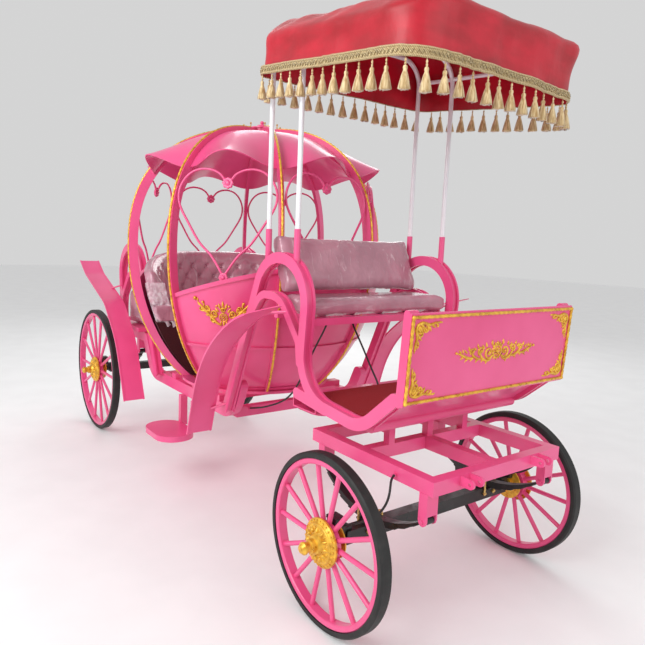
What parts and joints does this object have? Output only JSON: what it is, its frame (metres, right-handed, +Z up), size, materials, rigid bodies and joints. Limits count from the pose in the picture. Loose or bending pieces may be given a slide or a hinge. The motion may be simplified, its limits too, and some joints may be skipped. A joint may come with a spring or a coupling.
{
  "type": "horse-drawn carriage",
  "caption": "Open round fairytale carriage with curved ribs, wire hearts and a scalloped roof, a raised driver's box under a fringed canopy, spoked wheels and a steering front bogie.",
  "frame": {"origin": "on the ground, under the middle of the overall length and width", "axes": "+X forward to the hitch, +Y to the carriage's left, +Z up"},
  "size_m": [4.1478, 1.58, 2.707],
  "materials": {
    "pink_paint": "semi-gloss pink enamel",
    "gold_paint": "gold enamel",
    "black_steel": "black paint",
    "white_paint": "white powder coat",
    "tyre_rubber": "solid rubber",
    "hose_rubber": "black rubber sheath",
    "red_satin": "bright satin",
    "red_carpet": "short pile",
    "red_leather": "soft upholstery leather",
    "wrapped_leather": "leather in clear film"
  },
  "bodies": {
    "carriage": {"body_floor": "pink_paint", "body_ribs": "pink_paint", "canopy_cloth": "red_satin", "canopy_frame": "white_paint", "carpets": "red_carpet", "crown_finial": "gold_paint", "dash_board": "pink_paint", "driver_backrest": "wrapped_leather", "driver_cushion": "wrapped_leather", "driver_floor": "pink_paint", "driver_seat_frame": "pink_paint", "driver_sides": "pink_paint", "driver_underframe": "pink_paint", "front_fenders": "pink_paint", "heart_wires": "pink_paint", "lower_panels": "pink_paint", "perch_frame": "pink_paint", "rear_axle": "black_steel", "rear_cushion": "wrapped_leather", "rear_fenders": "pink_paint", "rear_platform": "pink_paint", "rear_sides": "pink_paint", "rear_springs": "black_steel", "roof_lobes": "pink_paint", "seat_cable_front": "hose_rubber", "seat_cable_rear": "hose_rubber", "sofa_back": "red_leather", "sofa_base": "red_leather", "sofa_seat": "red_leather", "steps": "pink_paint"},
    "bogie": {"bogie_frame": "pink_paint", "turntable_stand": "pink_paint", "turntable_bearing": "black_steel", "front_springs": "black_steel", "front_axle": "black_steel", "brake_hose_left": "hose_rubber", "brake_hose_right": "hose_rubber"},
    "wheel_front_left": {"front_left_hub": "gold_paint", "front_left_tyre": "tyre_rubber", "front_left_wheel": "pink_paint"},
    "wheel_front_right": {"front_right_hub": "gold_paint", "front_right_tyre": "tyre_rubber", "front_right_wheel": "pink_paint"},
    "wheel_rear_left": {"rear_left_hub": "gold_paint", "rear_left_tyre": "tyre_rubber", "rear_left_wheel": "pink_paint"},
    "wheel_rear_right": {"rear_right_hub": "gold_paint", "rear_right_tyre": "tyre_rubber", "rear_right_wheel": "pink_paint"}
  },
  "joints": [
    {"name": "steer", "type": "hinge", "parent": "carriage", "child": "bogie", "pos_m": [1.41, 0, 0.727], "axis": [0, 0, 1], "range_deg": [-35, 35]},
    {"name": "roll_front_left", "type": "hinge", "parent": "bogie", "child": "wheel_front_left", "pos_m": [1.628, 0.64, 0.38], "axis": [0, 1, 0], "continuous": true},
    {"name": "roll_front_right", "type": "hinge", "parent": "bogie", "child": "wheel_front_right", "pos_m": [1.628, -0.64, 0.38], "axis": [0, 1, 0], "continuous": true},
    {"name": "roll_rear_left", "type": "hinge", "parent": "carriage", "child": "wheel_rear_left", "pos_m": [-1.572, 0.64, 0.502], "axis": [0, 1, 0], "continuous": true},
    {"name": "roll_rear_right", "type": "hinge", "parent": "carriage", "child": "wheel_rear_right", "pos_m": [-1.572, -0.64, 0.502], "axis": [0, 1, 0], "continuous": true}
  ]
}
